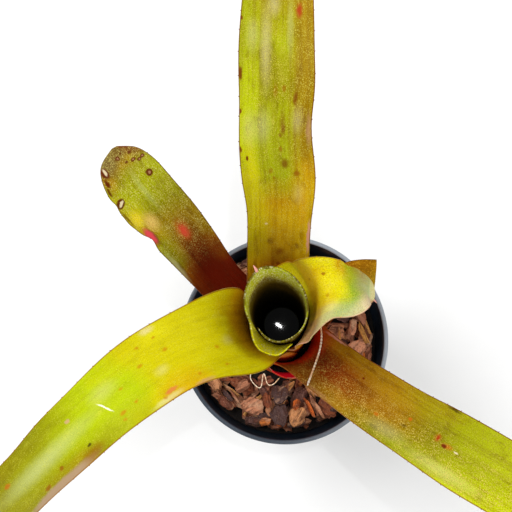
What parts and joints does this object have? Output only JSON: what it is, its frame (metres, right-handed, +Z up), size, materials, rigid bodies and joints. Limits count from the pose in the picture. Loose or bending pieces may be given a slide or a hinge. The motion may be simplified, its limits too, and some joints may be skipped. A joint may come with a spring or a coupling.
{
  "type": "potted bromeliad",
  "caption": "Potted bromeliad with strap leaves rolled into a leaning, water-holding tube, standing in bark in a round black nursery pot.",
  "frame": {"origin": "centre of the pot's flat underside", "axes": "+Z up along the pot's axis; +Y is toward the top of the picture and +X toward its right"},
  "size_m": [0.3039, 0.3255, 0.2453],
  "materials": {
    "pot_plastic": "black moulded plastic, satin",
    "bark": "rough bark chips",
    "stem": "rough, fibrous",
    "leaf_green": "leathery leaf with silver scurf",
    "leaf_yellow": "leathery leaf with fine scurf",
    "leaf_lime": "leathery leaf with fine scurf",
    "leaf_olive": "leathery leaf with fine scurf",
    "leaf_brown_green": "leathery leaf with gold scurf",
    "leaf_dark_green": "leathery leaf with gold scurf",
    "leaf_brown": "old leaf, scurfy",
    "leaf_red": "old leaf sheath, smooth",
    "water": "still water",
    "margin_fibre": "dry plant fibre"
  },
  "bodies": {
    "root": {"pot": "pot_plastic", "bark_mix": "bark", "rootstock": "stem", "leaf_1_centre": "leaf_green", "leaf_2_east": "leaf_yellow", "leaf_3_southwest": "leaf_lime", "leaf_4_north": "leaf_olive", "leaf_5_southeast": "leaf_brown_green", "leaf_6_northwest": "leaf_dark_green", "leaf_7_stub": "leaf_brown", "leaf_8_old_sheath": "leaf_red", "tank_water": "water", "margin_strand": "margin_fibre", "margin_loops": "margin_fibre"}
  },
  "joints": []
}
